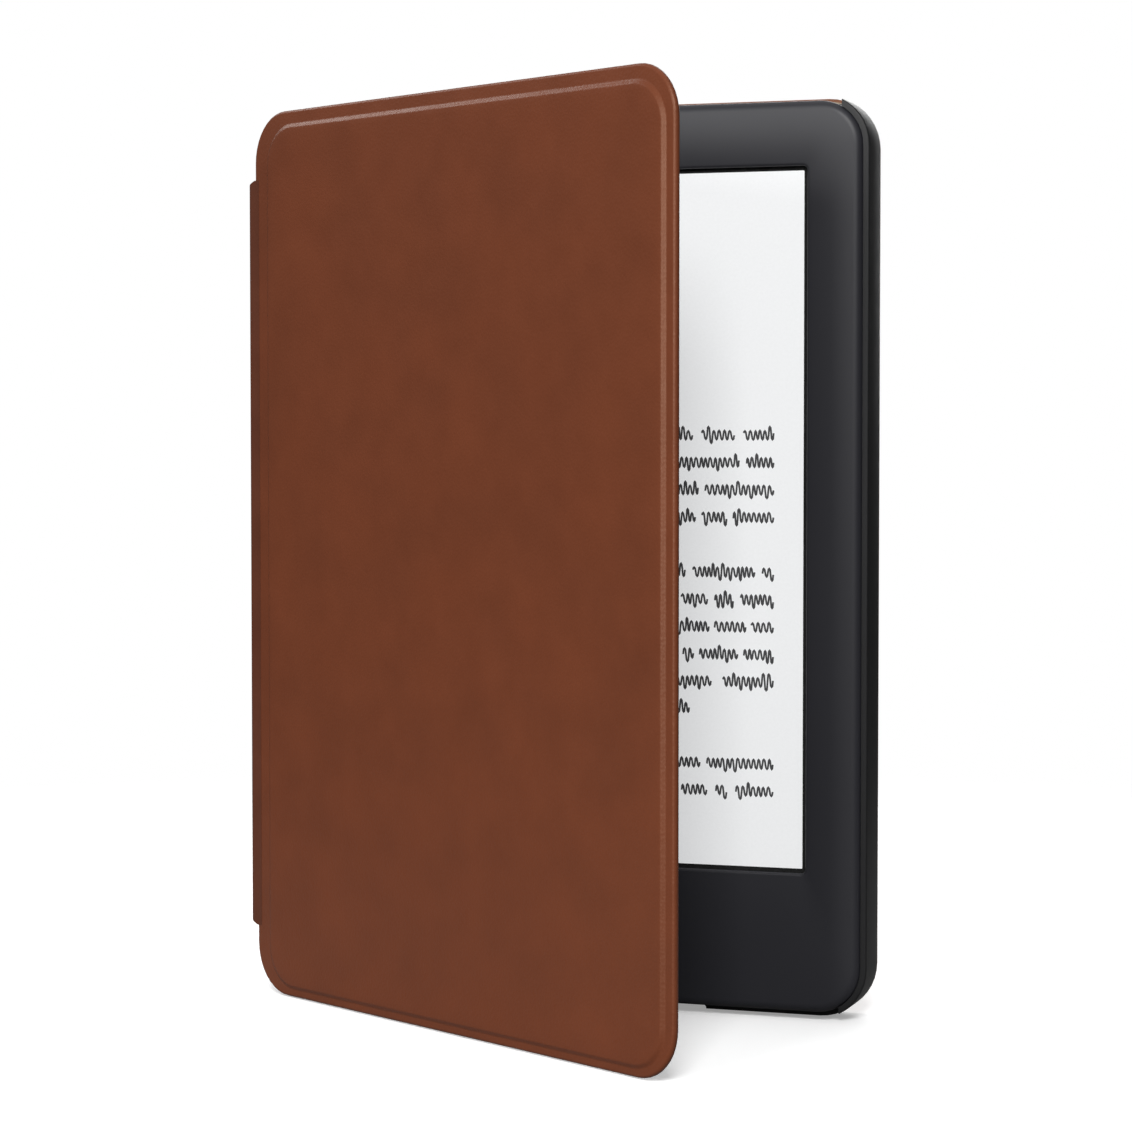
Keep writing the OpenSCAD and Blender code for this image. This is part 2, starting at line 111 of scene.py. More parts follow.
def upright_face(bm, box, radius, depth):
    """Upright face with round corners. box is (left, bottom, right, top) and depth its Y."""
    left, bottom, right, top = box
    place = (
        Matrix.Translation(((left + right) / 2, depth, (bottom + top) / 2))
        @ Matrix.Rotation(math.pi / 2, 4, "X")
        @ Matrix.Diagonal((right - left, top - bottom, 1, 1))
    )
    corners = bmesh.ops.create_grid(bm, x_segments=1, y_segments=1, size=0.5, matrix=place)["verts"]
    made = bmesh.ops.bevel(
        bm,
        geom=corners,
        offset=radius,
        offset_type="OFFSET",
        segments=ARC,
        profile=0.5,
        affect="VERTICES",
        material=-1,
    )
    return made["verts"][0].link_faces[0]


def inset(box, by):
    left, bottom, right, top = box
    return (left + by, bottom + by, right - by, top - by)


def rounding(radius, start, end):
    """(inset, depth) pairs along a quarter-round edge, from one angle to another in degrees.

    At 0 degrees the edge runs along the side wall, and at 90 along the front.
    """
    steps = [math.radians(start + (end - start) * i / EDGE) for i in range(EDGE + 1)]
    return [(radius * (1 - math.cos(a)), radius * (1 - math.sin(a))) for a in steps]


def loft(bm, sections, ring=False):
    """Joins upright sections, each (box, radius, depth), with walls. A ring also joins last to first.

    The sections stand 10 mm apart while they are joined, because nested loops in one plane would
    otherwise be joined back to front.
    """
    faces = [upright_face(bm, *section) for section in sections]
    loops = [list(face.edges) for face in faces]
    rows = [list(face.verts) for face in faces]
    for step, row in enumerate(rows):
        bmesh.ops.translate(bm, verts=row, vec=(0, step * 10 * MM, 0))
    bmesh.ops.delete(bm, geom=faces if ring else faces[1:-1], context="FACES_ONLY")
    following = loops[1:] + ([loops[0]] if ring else [])
    for one, other in zip(loops, following):
        bmesh.ops.bridge_loops(bm, edges=one + other)
    for step, row in enumerate(rows):
        bmesh.ops.translate(bm, verts=row, vec=(0, -step * 10 * MM, 0))


def slab(bm, box, radius, front, back, edge):
    """Upright plate with round corners and rounded edges, between two depths."""
    turn = rounding(edge, 0, 90)
    sections = [(inset(box, i), radius - i, front + d) for i, d in reversed(turn)]
    sections += [(inset(box, i), radius - i, back - d) for i, d in turn]
    loft(bm, sections)


def block(bm, lo, hi):
    """Plain block between two corners."""
    size = hi - lo
    place = Matrix.Translation((lo + hi) / 2) @ Matrix.Diagonal((*size, 1))
    return bmesh.ops.create_cube(bm, size=1, matrix=place)["verts"]


def round_edges(bm, edges, radius, segments):
    """Rounds some edges of a bmesh."""
    bmesh.ops.bevel(
        bm,
        geom=edges,
        offset=radius,
        offset_type="OFFSET",
        segments=segments,
        profile=0.5,
        affect="EDGES",
        material=-1,
    )


def face_box(node):
    """(left, bottom, right, top) of a node seen from the front."""
    lo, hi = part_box(node)
    return (lo.x, lo.z, hi.x, hi.z)


def make_piece(name, bm, body, finish):
    """Turns a bmesh into a piece that takes a slot's finish and, where it is given, rides on a body."""
    bmesh.ops.recalc_face_normals(bm, faces=bm.faces)
    mesh = bpy.data.meshes.new(name)
    bm.to_mesh(mesh)
    bm.free()
    mesh.shade_smooth()
    mesh.set_sharp_from_angle(angle=CREASE)
    piece = bpy.data.objects.new(name, mesh)
    bpy.context.scene.collection.objects.link(piece)
    mesh.materials.append(finish)
    if body:
        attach(piece, body)
    return piece


def apply_modifiers(piece):
    """Replaces a piece's mesh by the one that its modifiers make."""
    bpy.context.view_layer.update()
    shown = piece.evaluated_get(bpy.context.evaluated_depsgraph_get())
    mesh = bpy.data.meshes.new_from_object(shown)
    piece.modifiers.clear()
    piece.data = mesh


def carve(piece, cutters):
    """Cuts the shapes of a bmesh out of a piece."""
    mesh = bpy.data.meshes.new("cutter")
    bmesh.ops.recalc_face_normals(cutters, faces=cutters.faces)
    cutters.to_mesh(mesh)
    cutters.free()
    tool = bpy.data.objects.new("cutter", mesh)
    bpy.context.scene.collection.objects.link(tool)
    cut = piece.modifiers.new("cut", "BOOLEAN")
    cut.object, cut.operation, cut.solver = tool, "DIFFERENCE", "EXACT"
    apply_modifiers(piece)
    bpy.data.objects.remove(tool)
    piece.data.shade_smooth()
    piece.data.set_sharp_from_angle(angle=CREASE)


def soften(piece, width):
    """Rounds a piece's sharp edges."""
    bevel = piece.modifiers.new("soft_edges", "BEVEL")
    bevel.width, bevel.segments, bevel.limit_method = width, 2, "ANGLE"
    bevel.angle_limit, bevel.harden_normals = CREASE, True


# ---------------------------------------------------------------- finishes


def linear(hex_colour):
    """Linear colour of an sRGB hex value."""
    channels = [int(hex_colour[i : i + 2], 16) / 255 for i in (1, 3, 5)]
    return [c / 12.92 if c <= 0.04045 else ((c + 0.055) / 1.055) ** 2.4 for c in channels] + [1.0]


def add(tree, kind, settings=None, **links):
    """Adds a node with its settings. A link's value is a socket, or a plain value for that input."""
    node = tree.nodes.new(kind)
    for key, value in (settings or {}).items():
        setattr(node, key, value)
    for key, value in links.items():
        name = key.replace("_", " ")
        socket = node.inputs[int(name[1:])] if name[1:].isdigit() else node.inputs[name]
        if isinstance(value, bpy.types.NodeSocket):
            tree.links.new(value, socket)
        else:
            socket.default_value = value
    return node


def new_finish(name, colour, roughness, metallic=0.0, specular=0.5):
    """A material with a Principled shader. Returns it, its tree, its shader and Object coordinates."""
    finish = bpy.data.materials.new(name)
    finish.use_nodes = True
    tree = finish.node_tree
    shader = tree.nodes["Principled BSDF"]
    shader.inputs["Base Color"].default_value = linear(colour)
    shader.inputs["Roughness"].default_value = roughness
    shader.inputs["Metallic"].default_value = metallic
    shader.inputs["Specular IOR Level"].default_value = specular
    finish.diffuse_color = linear(colour)
    coordinates = add(tree, "ShaderNodeTexCoord").outputs["Object"]
    return finish, tree, shader, coordinates


def per_metre(size_mm):
    """Texture scale whose features are about this many millimetres across."""
    return 1 / (size_mm * MM)


def mottle(tree, shader, at, dark, light, size_mm, spread=0.25):
    """Uneven colour between two hex values, in patches of a size."""
    patches = add(tree, "ShaderNodeTexNoise", Vector=at, Scale=per_metre(size_mm), Detail=4.0)
    ramp = add(tree, "ShaderNodeValToRGB", Fac=patches.outputs["Fac"])
    ramp.color_ramp.elements[0].color = linear(dark)
    ramp.color_ramp.elements[1].color = linear(light)
    ramp.color_ramp.elements[0].position = 0.5 - spread
    ramp.color_ramp.elements[1].position = 0.5 + spread
    tree.links.new(ramp.outputs["Color"], shader.inputs["Base Color"])


def relief(tree, shader, height, depth_mm, strength=1.0, under=None):
    """Bump of a real depth from a height between 0 and 1."""
    bump = add(tree, "ShaderNodeBump", Height=height, Distance=depth_mm * MM, Strength=strength)
    if under is not None:
        tree.links.new(under.outputs["Normal"], bump.inputs["Normal"])
    tree.links.new(bump.outputs["Normal"], shader.inputs["Normal"])
    return bump


def vary_roughness(tree, shader, at, size_mm, lowest, highest):
    """Patches of slightly different gloss."""
    noise = add(tree, "ShaderNodeTexNoise", Vector=at, Scale=per_metre(size_mm), Detail=3.0)
    spread = add(tree, "ShaderNodeMapRange", Value=noise.outputs["Fac"], To_Min=lowest, To_Max=highest)
    tree.links.new(spread.outputs["Result"], shader.inputs["Roughness"])


def synthetic_leather(name, base, dark, light):
    """Polyurethane leather: embossed pebble grain under a semi-matte coat, uneven brown."""
    finish, tree, shader, at = new_finish(name, base, 0.45, specular=0.35)
    # What little it mirrors is warm, as the coat over the brown is tinted
    shader.inputs["Specular Tint"].default_value = linear("#ffdcc0")
    mottle(tree, shader, at, dark, light, 12)
    vary_roughness(tree, shader, at, 6, 0.38, 0.5)
    # Pebbles of a fine calf grain, about 0.55 mm across, with creases between them
    pebble = add(
        tree,
        "ShaderNodeTexVoronoi",
        {"feature": "SMOOTH_F1"},
        Vector=at,
        Scale=per_metre(0.55),
        Smoothness=0.35,
    )
    grain = relief(tree, shader, pebble.outputs["Distance"], 0.05, 0.5)
    # The board under the skin is never quite flat
    sway = add(tree, "ShaderNodeTexNoise", Vector=at, Scale=per_metre(14), Detail=2.0)
    relief(tree, shader, sway.outputs["Fac"], 0.05, 0.5, grain)
    return finish


def textured_plastic(name, colour, roughness, grit_mm, depth_mm, specular=0.5):
    """Injection-moulded plastic from a spark-eroded mould: an even fine grit that breaks highlights."""
    finish, tree, shader, at = new_finish(name, colour, roughness, specular=specular)
    grit = add(tree, "ShaderNodeTexNoise", Vector=at, Scale=per_metre(grit_mm), Detail=2.0)
    vary_roughness(tree, shader, at, 30, roughness - 0.04, roughness + 0.04)
    relief(tree, shader, grit.outputs["Fac"], depth_mm, 0.4)
    return finish


def paper_screen(name, colour):
    """Anti-glare film over electronic paper: matt, pale, with a barely visible speckle."""
    finish, tree, shader, at = new_finish(name, colour, 0.62, specular=0.25)
    # Glow of the front light guide, made strong as painted light: it gives about half of the page's brightness and
    # evens out the light and shade on the page
    shader.inputs["Emission Color"].default_value = linear("#f7f8fa")
    shader.inputs["Emission Strength"].default_value = 0.47
    speckle = add(tree, "ShaderNodeTexNoise", Vector=at, Scale=per_metre(0.25), Detail=1.0)
    relief(tree, shader, speckle.outputs["Fac"], 0.004, 0.3)
    mottle(tree, shader, at, "#babbbb", "#c1c2c2", 0.5, 0.3)
    return finish


def printed_ink(name, colour):
    """Dark pigment of the electronic paper, which has the same matt face as its ground."""
    finish, tree, shader, at = new_finish(name, colour, 0.62, specular=0.25)
    speckle = add(tree, "ShaderNodeTexNoise", Vector=at, Scale=per_metre(0.2), Detail=1.0)
    relief(tree, shader, speckle.outputs["Fac"], 0.004, 0.3)
    return finish


def microfibre(name, base, dark, light):
    """Brushed microfibre: short nap that is paler at grazing angles, with a faint streak."""
    finish, tree, shader, at = new_finish(name, base, 0.95, specular=0.1)
    shader.inputs["Sheen Weight"].default_value = 0.35
    shader.inputs["Sheen Roughness"].default_value = 0.5
    mottle(tree, shader, at, dark, light, 1.2, 0.2)
    nap = add(tree, "ShaderNodeTexNoise", Vector=at, Scale=per_metre(0.18), Detail=4.0)
    relief(tree, shader, nap.outputs["Fac"], 0.05, 0.6)
    return finish


def metal(name, colour, roughness, grain_mm):
    """Rolled or cast metal: fine grain, with gloss that changes from place to place."""
    finish, tree, shader, at = new_finish(name, colour, roughness, metallic=1.0)
    vary_roughness(tree, shader, at, 4, roughness - 0.08, roughness + 0.08)
    grain = add(tree, "ShaderNodeTexNoise", Vector=at, Scale=per_metre(grain_mm), Detail=3.0)
    relief(tree, shader, grain.outputs["Fac"], 0.01, 0.4)
    return finish


def circuit_board(name):
    """Glass-epoxy board under green solder mask, with copper tracks that show paler."""
    finish, tree, shader, at = new_finish(name, "#1c5a3a", 0.35)
    flat = add(tree, "ShaderNodeMapping", Vector=at, Rotation=(math.pi / 2, 0, 0))
    tracks = add(
        tree,
        "ShaderNodeTexBrick",
        Vector=flat.outputs["Vector"],
        Scale=per_metre(4),
        Color1=linear("#1b5638"),
        Color2=linear("#1f633f"),
        Mortar=linear("#3f8a5c"),
    )
    tree.links.new(tracks.outputs["Color"], shader.inputs["Base Color"])
    relief(tree, shader, tracks.outputs["Fac"], 0.03, 0.5)
    return finish


def foil_pouch(name):
    """Laminated battery foil: dull silver with a soft crinkle from the press."""
    finish, tree, shader, at = new_finish(name, "#c3c6c9", 0.38, metallic=0.85)
    crinkle = add(tree, "ShaderNodeTexNoise", Vector=at, Scale=per_metre(9), Detail=5.0)
    relief(tree, shader, crinkle.outputs["Fac"], 0.3, 0.5)
    return finish


def pressed_board(name, dark, light):
    """Grey board: pulp fibres, matt, speckled."""
    finish, tree, shader, at = new_finish(name, dark, 0.9, specular=0.2)
    mottle(tree, shader, at, dark, light, 0.6, 0.2)
    fibres = add(tree, "ShaderNodeTexNoise", Vector=at, Scale=per_metre(0.4), Detail=5.0)
    relief(tree, shader, fibres.outputs["Fac"], 0.05, 0.5)
    return finish


def open_foam(name, dark, light):
    """Cut polyurethane foam: small open cells, matt."""
    finish, tree, shader, at = new_finish(name, light, 0.9, specular=0.2)
    cells = add(tree, "ShaderNodeTexVoronoi", Vector=at, Scale=per_metre(0.6))
    mottle(tree, shader, at, dark, light, 2)
    relief(tree, shader, cells.outputs["Distance"], 0.2, 0.7)
    return finish


def moulded_small(name, colour, roughness=0.45, coat=0.0):
    """Small moulded or drawn piece in one colour, with a faint surface grain."""
    finish, tree, shader, at = new_finish(name, colour, roughness)
    shader.inputs["Coat Weight"].default_value = coat
    grain = add(tree, "ShaderNodeTexNoise", Vector=at, Scale=per_metre(0.3), Detail=2.0)
    relief(tree, shader, grain.outputs["Fac"], 0.01, 0.4)
    return finish


FINISHES = {}


def finish_for(name):
    """The material of a name, made the first time it is asked for."""
    look = bpy.context.scene.folio_look
    makers = {
        "leather": lambda: synthetic_leather(
            "leather", look.leather, look.leather_dark, look.leather_light
        ),
        # fold_leather is a darker copy of the leather: painted shade on the spine and the folds
        "fold_leather": lambda: synthetic_leather("fold_leather", "#4d291d", "#48261a", "#522c1f"),
        "lining": lambda: microfibre("lining", "#2e2a28", "#292523", "#35302d"),
        "housing": lambda: textured_plastic("housing", look.housing, 0.48, 0.22, 0.01, 0.4),
        "tray": lambda: textured_plastic("tray", look.tray, 0.5, 0.5, 0.01, 0.3),
        "key": lambda: textured_plastic("key", look.housing, 0.4, 0.2, 0.01),
        "screen": lambda: paper_screen("screen", "#bebfbf"),
        "ink": lambda: printed_ink("ink", look.ink),
        "board": lambda: circuit_board("board"),
        "battery": lambda: foil_pouch("battery"),
        "greyboard": lambda: pressed_board("greyboard", "#7d6f5f", "#9a8b78"),
        "foam": lambda: open_foam("foam", "#cfc6b4", "#e0d9ca"),
        "foam_black": lambda: open_foam("foam_black", "#161616", "#242424"),
        "chassis": lambda: metal("chassis", "#8b8e93", 0.55, 0.4),
        "shield": lambda: metal("shield", "#b9bdc1", 0.3, 0.6),
        "port": lambda: metal("port", "#aeb1b5", 0.28, 0.4),
        "screw": lambda: metal("screw", "#9fa3a8", 0.32, 0.3),
        "magnet": lambda: metal("magnet", "#a3a6aa", 0.22, 0.5),
        "chip": lambda: moulded_small("chip", "#18191b", 0.5),
        "flex": lambda: moulded_small("flex", "#b8702a", 0.3, 0.4),
        "connector": lambda: moulded_small("connector", "#e6e0cf", 0.5),
        "tape": lambda: moulded_small("tape", "#dcbf52", 0.4),
        "wire": lambda: moulded_small("wire", "#a81d1d", 0.4),
        "coax": lambda: moulded_small("coax", "#1c1c1e", 0.4),
        "light_pipe": lambda: moulded_small("light_pipe", "#a5c58a", 0.25, 0.5),
        "light_guide": lambda: moulded_small("light_guide", "#e6eaea", 0.1, 0.6),
        "panel": lambda: moulded_small("panel", "#d5d5d0", 0.5),
    }
    if name not in FINISHES:
        FINISHES[name] = makers[name]()
    return FINISHES[name]


# ---------------------------------------------------------------- settings a user may change


def colour_setting(name, description, default):
    return StringProperty(name=name, description=description, default=default)


def length_setting(name, description, default):
    return FloatProperty(name=name, description=description, default=default, unit="LENGTH")


def light_setting(name, description, default):
    return FloatProperty(name=name, description=description, default=default, min=0)


class FolioLook(bpy.types.PropertyGroup):
    """Colours of the folio and the e-reader, as sRGB hex values."""

    leather: colour_setting("Leather", "Colour of the synthetic leather", "#5e301d")
    leather_dark: colour_setting("Leather, dark", "Darker patches of the leather", "#5a2e1c")
    leather_light: colour_setting("Leather, light", "Lighter patches of the leather", "#62321e")
    housing: colour_setting("Housing", "Colour of the e-reader's housing", "#222227")
    tray: colour_setting("Tray", "Colour of the hard tray", "#161617")
    ink: colour_setting("Ink", "Colour of the marks on the page", "#4a4a4c")


class FolioSizes(bpy.types.PropertyGroup):
    """Sizes of the detail that the frame doesn't hold."""

    leather_edge: length_setting("Leather edge", "Rounding of the front cover's edge", 0.6 * MM)
    field_drop: length_setting("Field drop", "How far the field sits below the cover's middle", 0.5 * MM)
    fold_lap: length_setting("Fold lap", "How far a fold of leather lies on the panel beside it", 1.4 * MM)
    fold_corner: length_setting("Fold corner", "Size of the 45 degree cut on a fold's corners", 1.2 * MM)
    black_line: length_setting("Black line", "Width of the black line around the screen", 0.75 * MM)
    letter_height: length_setting("Sign height", "Height of the lower signs on the page", 1.75 * MM)
    line_pitch: length_setting("Line pitch", "Distance between two lines on the page", 4.85 * MM)
    page_margin: length_setting("Page margin", "Distance of the marks from the screen's sides", 5.45 * MM)
    first_line: length_setting("First line", "Distance of the first line from the screen's top", 46.2 * MM)
    page_seed: IntProperty(name="Page seed", description="Choice of marks on the page", default=7)


class FolioStudio(bpy.types.PropertyGroup):
    """Camera and light. A room light is a strength, and a lamp's power is in watts."""

    camera_at: FloatVectorProperty(
        name="Camera",
        description="Place of the camera",
        default=(0.1854, -0.5443, 0.1033),
        subtype="TRANSLATION",
    )
    camera_turn: FloatProperty(
        name="Turn",
        description="Turn of the camera to the left",
        default=math.radians(18.936),
        subtype="ANGLE",
    )
    camera_dip: FloatProperty(
        name="Dip",
        description="Dip of the camera below level",
        default=math.radians(2.417),
        subtype="ANGLE",
    )
    camera_lens: FloatProperty(name="Lens", description="Focal length in millimetres", default=99.8)
    floor_radius: length_setting("Floor radius", "Radius of the round floor", 0.4)
    room_light: light_setting("Room light", "Strength of the light from all sides", 0.12)
    key_power: light_setting("Key light", "Power of the light at the upper right", 11.5)
    panel_power: light_setting("Panel light", "Power of the panel at the lower left", 7.5)
    overhead_power: light_setting("Top light", "Power of the light above", 1.5)
    rim_power: light_setting("Rim light", "Power of the light on the left", 1.6)
    back_power: light_setting("Back light", "Power of the light behind the folio", 7.0)


# ---------------------------------------------------------------- pieces


class MakeCover(bpy.types.Operator):
    """Front cover: leather skin with its padded field, foam pad and lining"""

    bl_idname = "folio.cover"
    bl_label = "Front cover"

    def execute(self, context):
        sizes = context.scene.folio_sizes
        lo, hi = closed_box("cover_leather")
        pad_lo, pad_hi = closed_box("cover_padding")
        board_lo, board_hi = closed_box("cover_board")
        lining_lo, lining_hi = closed_box("cover_lining")
        outline = (lo.x, lo.z, hi.x, hi.z)
        board = (board_lo.x, board_lo.z, board_hi.x, board_hi.z)
        pad = (pad_lo.x, pad_lo.z - sizes.field_drop, pad_hi.x, pad_hi.z - sizes.field_drop)
        opening = (lining_lo.x, lining_lo.z, lining_hi.x, lining_hi.z)
        skin = board_lo.x - lo.x
        rim_front = board_lo.y - skin
        back = hi.y
        corner = 9 * MM
        slope = 1.1 * MM
        foot = inset(pad, -1.2 * MM)
        foot_radius = corner - (foot[1] - lo.z)
        rise = rim_front - lo.y
        edge = sizes.leather_edge

        field = []
        for i in range(9):
            t = i / 8
            field.append((slope * t, rise * 0.88 * (t * t * (3 - 2 * t))))
        # Past its shoulder the padding swells on, ever more gently, to the full rise
        for i in range(1, 5):
            t = i / 4
            field.append((slope + 3.5 * MM * t, rise * (0.88 + 0.12 * math.sin(t * math.pi / 2))))

        turn = rounding(edge, 0, 90)
        sections = [
            (inset(foot, i), foot_radius - i, rim_front - d) for i, d in reversed(field)
        ]
        sections += [(inset(outline, i), corner - i, rim_front + d) for i, d in reversed(turn)]
        sections += [(inset(outline, i), corner - i, back - d) for i, d in turn]
        sections += [(opening, corner - 4 * MM, back)]
        sections += [(opening, corner - 4 * MM, board_hi.y)]
        sections += [(board, corner - skin, board_hi.y)]
        sections += [(board, corner - skin, board_lo.y)]
        sections += [(pad, foot_radius - slope, board_lo.y)]
        sections += [(pad, foot_radius - slope, pad_lo.y + 0.02 * MM)]
        bm = bmesh.new()
        loft(bm, sections)
        bmesh.ops.transform(bm, matrix=OPENING, verts=bm.verts)
        cover_skin = make_piece("cover_skin", bm, "cover", finish_for("leather"))
        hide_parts("cover_leather")

        bm = bmesh.new()
        slab(bm, inset(pad, 0.05 * MM), foot_radius - slope, pad_lo.y + 0.05 * MM, pad_hi.y, 0.15 * MM)
        bmesh.ops.transform(bm, matrix=OPENING, verts=bm.verts)
        cover_pad = make_piece("cover_pad", bm, "cover", finish_for("foam"))
        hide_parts("cover_padding")

        bm = bmesh.new()
        cloth = inset(opening, -0.02 * MM)
        slab(bm, cloth, corner - 4 * MM, lining_lo.y, lining_hi.y + 0.06 * MM, 0.1 * MM)
        bmesh.ops.transform(bm, matrix=OPENING, verts=bm.verts)
        lining = make_piece("cover_lining_cloth", bm, "cover", finish_for("lining"))
        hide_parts("cover_lining")
        return {"FINISHED"}


def leather_strip(bm, points, bottom, top, thickness, corner=0.0):
    """Upright strip of leather along points in plan. The first point's corners are cut at 45 degrees."""
    chain = [bm.verts.new((p.x, p.y, bottom)) for p in points]
    rail = [bm.edges.new(pair) for pair in zip(chain, chain[1:])]
    made = bmesh.ops.extrude_edge_only(bm, edges=rail)["geom"]
    raised = [v for v in made if isinstance(v, bmesh.types.BMVert)]
    bmesh.ops.translate(bm, verts=raised, vec=(0, 0, top - bottom))
    if corner:
        outward = (points[0] - points[1]).normalized()
        for z, side in ((bottom, Vector((0, 0, -1))), (top, Vector((0, 0, 1)))):
            geometry = bm.verts[:] + bm.edges[:] + bm.faces[:]
            bmesh.ops.bisect_plane(
                bm,
                geom=geometry,
                plane_co=Vector((points[0].x, points[0].y, z)) - side * corner,
                plane_no=(outward + side).normalized(),
                clear_outer=True,
            )
    bmesh.ops.solidify(bm, geom=bm.faces[:], thickness=thickness)


class MakeSpine(bpy.types.Operator):
    """Spine: its leather, its lining and the leather folds to the back panel and the front cover"""

    bl_idname = "folio.spine"
    bl_label = "Spine and folds"

    def execute(self, context):
        lap = context.scene.folio_sizes.fold_lap
        corner = context.scene.folio_sizes.fold_corner
        lo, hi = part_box("spine_leather")
        lining_lo, lining_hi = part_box("spine_lining")
        cover_lo = closed_box("cover_leather")[0]
        board_lo = closed_box("cover_board")[0]
        back_lo, back_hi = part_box("back_leather")
        skin = board_lo.x - cover_lo.x
        rim = Vector((cover_lo.x, board_lo.y - skin, 0))
        right, forward = Vector((1, 0, 0)), Vector((0, -1, 0))
        near = Vector((lo.x, COVER_HINGE.y, 0))
        far = Vector((lo.x, SPINE_HINGE.y, 0))
        ends = (lo.z, hi.z)
        tall = (lo.z - corner, hi.z + corner)

        # The spine skin takes the darker fold_leather, whose extra darkness is painted shade
        self.wall("spine_skin", near, far, ends, skin, "leather", "fold_leather", "spine_leather")
        inner_near = Vector((lining_hi.x, lining_lo.y, 0))
        inner_far = Vector((lining_hi.x, lining_hi.y, 0))
        cloth = lining_hi.x - lining_lo.x
        name = "spine_lining_cloth"
        self.wall(name, inner_near, inner_far, ends, -cloth, "lining", "lining", "spine_lining")

        turned = OPENING.to_3x3() @ right
        # A fold's edge lies on the panel beside it, just clear of it
        clear = 0.03 * MM
        on_rim = OPENING @ (rim + right * lap + forward * clear)
        curve = interpolate_bezier(near, near + forward * 0.8 * MM, on_rim - turned * 1.8 * MM, on_rim, 19)
        self.fold("fold_front", curve, tall, skin, ("spine", "cover"), (near, OPENING @ rim), corner)
        on_back = Vector((back_lo.x + lap, back_hi.y + clear, 0))
        curve = interpolate_bezier(far, far - forward * 0.7 * MM, on_back - right * 1.8 * MM, on_back, 19)
        edge = Vector((back_lo.x, back_hi.y, 0))
        self.fold("fold_back", curve, tall, -skin, ("spine", "tray"), (far, edge), corner)
        return {"FINISHED"}

    def wall(self, name, start, end, ends, thickness, slot, finish, node):
        """Flat strip of the spine from one end of it to the other."""
        bm = bmesh.new()
        leather_strip(bm, [start.lerp(end, i / 12) for i in range(13)], *ends, thickness)
        piece = make_piece(name, bm, "spine", finish_for(finish))
        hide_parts(node)

    def fold(self, name, curve, ends, thickness, bodies, between, corner):
        """One fold of leather, in the pose of the open folio and not attached to a body."""
        bm = bmesh.new()
        leather_strip(bm, [Vector((p.x, p.y, 0)) for p in curve], *ends, -thickness, corner)
        # The fold's darker leather is painted shade
        piece = make_piece(name, bm, None, finish_for("fold_leather"))
        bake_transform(piece)


class MakeBack(bpy.types.Operator):
    """Back panel: the leather on the outside of the tray"""

    bl_idname = "folio.back"
    bl_label = "Back panel"

    def execute(self, context):
        lo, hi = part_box("back_leather")
        board_lo, board_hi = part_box("back_board")
        outline = face_box("back_leather")
        board = face_box("back_board")
        skin = board_lo.x - lo.x
        corner = 9.1 * MM
        turn = rounding(0.6 * MM, 0, 90)
        sections = [(board, corner - skin, board_hi.y), (board, corner - skin, lo.y)]
        sections += [(outline, corner, lo.y)]
        sections += [(inset(outline, i), corner - i, hi.y - d) for i, d in turn]
        bm = bmesh.new()
        loft(bm, sections)
        back_skin = make_piece("back_skin", bm, "tray", finish_for("leather"))
        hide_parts("back_leather")
        return {"FINISHED"}


class MakeTray(bpy.types.Operator):
    """Hard tray that the e-reader clips into"""

    bl_idname = "folio.tray"
    bl_label = "Tray"

    def execute(self, context):
        lo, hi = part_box("tray_shell")
        reader = face_box("rear_cover")
        outline = inset(reader, lo.x - reader[0])
        reader_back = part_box("rear_cover")[1].y
        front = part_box("front_frame")[0].y
        gap = 0.1 * MM
        cavity = inset(reader, -gap)
        corner, inner = 9.1 * MM, 8.1 * MM
        floor = reader_back + gap
        back_turn = rounding(1.2 * MM, 0, 90)
        lip_turn = rounding(0.35 * MM, 0, 90)
        # The walls end part way round the e-reader's front edge, which is what holds it
        edge = 1.6 * MM
        reach = edge - (lo.y - front + gap)
        hold = rounding(edge, math.degrees(math.asin(reach / edge)), 0)
        seat = rounding(2.6 * MM, 0, 90)
        sections = [(inset(outline, i), corner - i, hi.y - d) for i, d in reversed(back_turn)]
        sections += [(inset(outline, i), corner - i, lo.y + d) for i, d in lip_turn]
        sections += [(inset(cavity, i), inner - i, front + d - gap) for i, d in hold]
        sections += [(inset(cavity, i), inner - i, floor - d) for i, d in seat]
        bm = bmesh.new()
        loft(bm, sections)
        tray = make_piece("tray", bm, "tray", finish_for("tray"))

        left, bottom, right, top = outline
        clip, wall, notch, beyond = 5 * MM, 1.1 * MM, 27.5 * MM, 5 * MM
        cuts = [
            # The top is open between its corner clips
            ((left + clip, lo.y - beyond, top - corner), (right - clip, floor - 0.05 * MM, top + beyond)),
            ((left + clip, lo.y - beyond, top - wall), (right - clip, hi.y + beyond, top + beyond)),
            # The bottom wall is low, and open in the middle for the charging socket and the power button
            ((left + clip, lo.y - beyond, bottom - beyond), (right - clip, hi.y - 6 * MM, bottom + corner)),
            ((-notch, lo.y - beyond, bottom - beyond), (notch, hi.y + beyond, bottom + wall)),
        ]
        for low_corner, high_corner in cuts:
            cutters = bmesh.new()
            block(cutters, Vector(low_corner), Vector(high_corner))
            upright = [e for e in cutters.edges if abs(e.verts[0].co.x - e.verts[1].co.x) < 1e-6]
            round_edges(cutters, upright, 1.2 * MM, 4)
            carve(tray, cutters)
        soften(tray, 0.12 * MM)
        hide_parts("tray_shell")
        return {"FINISHED"}


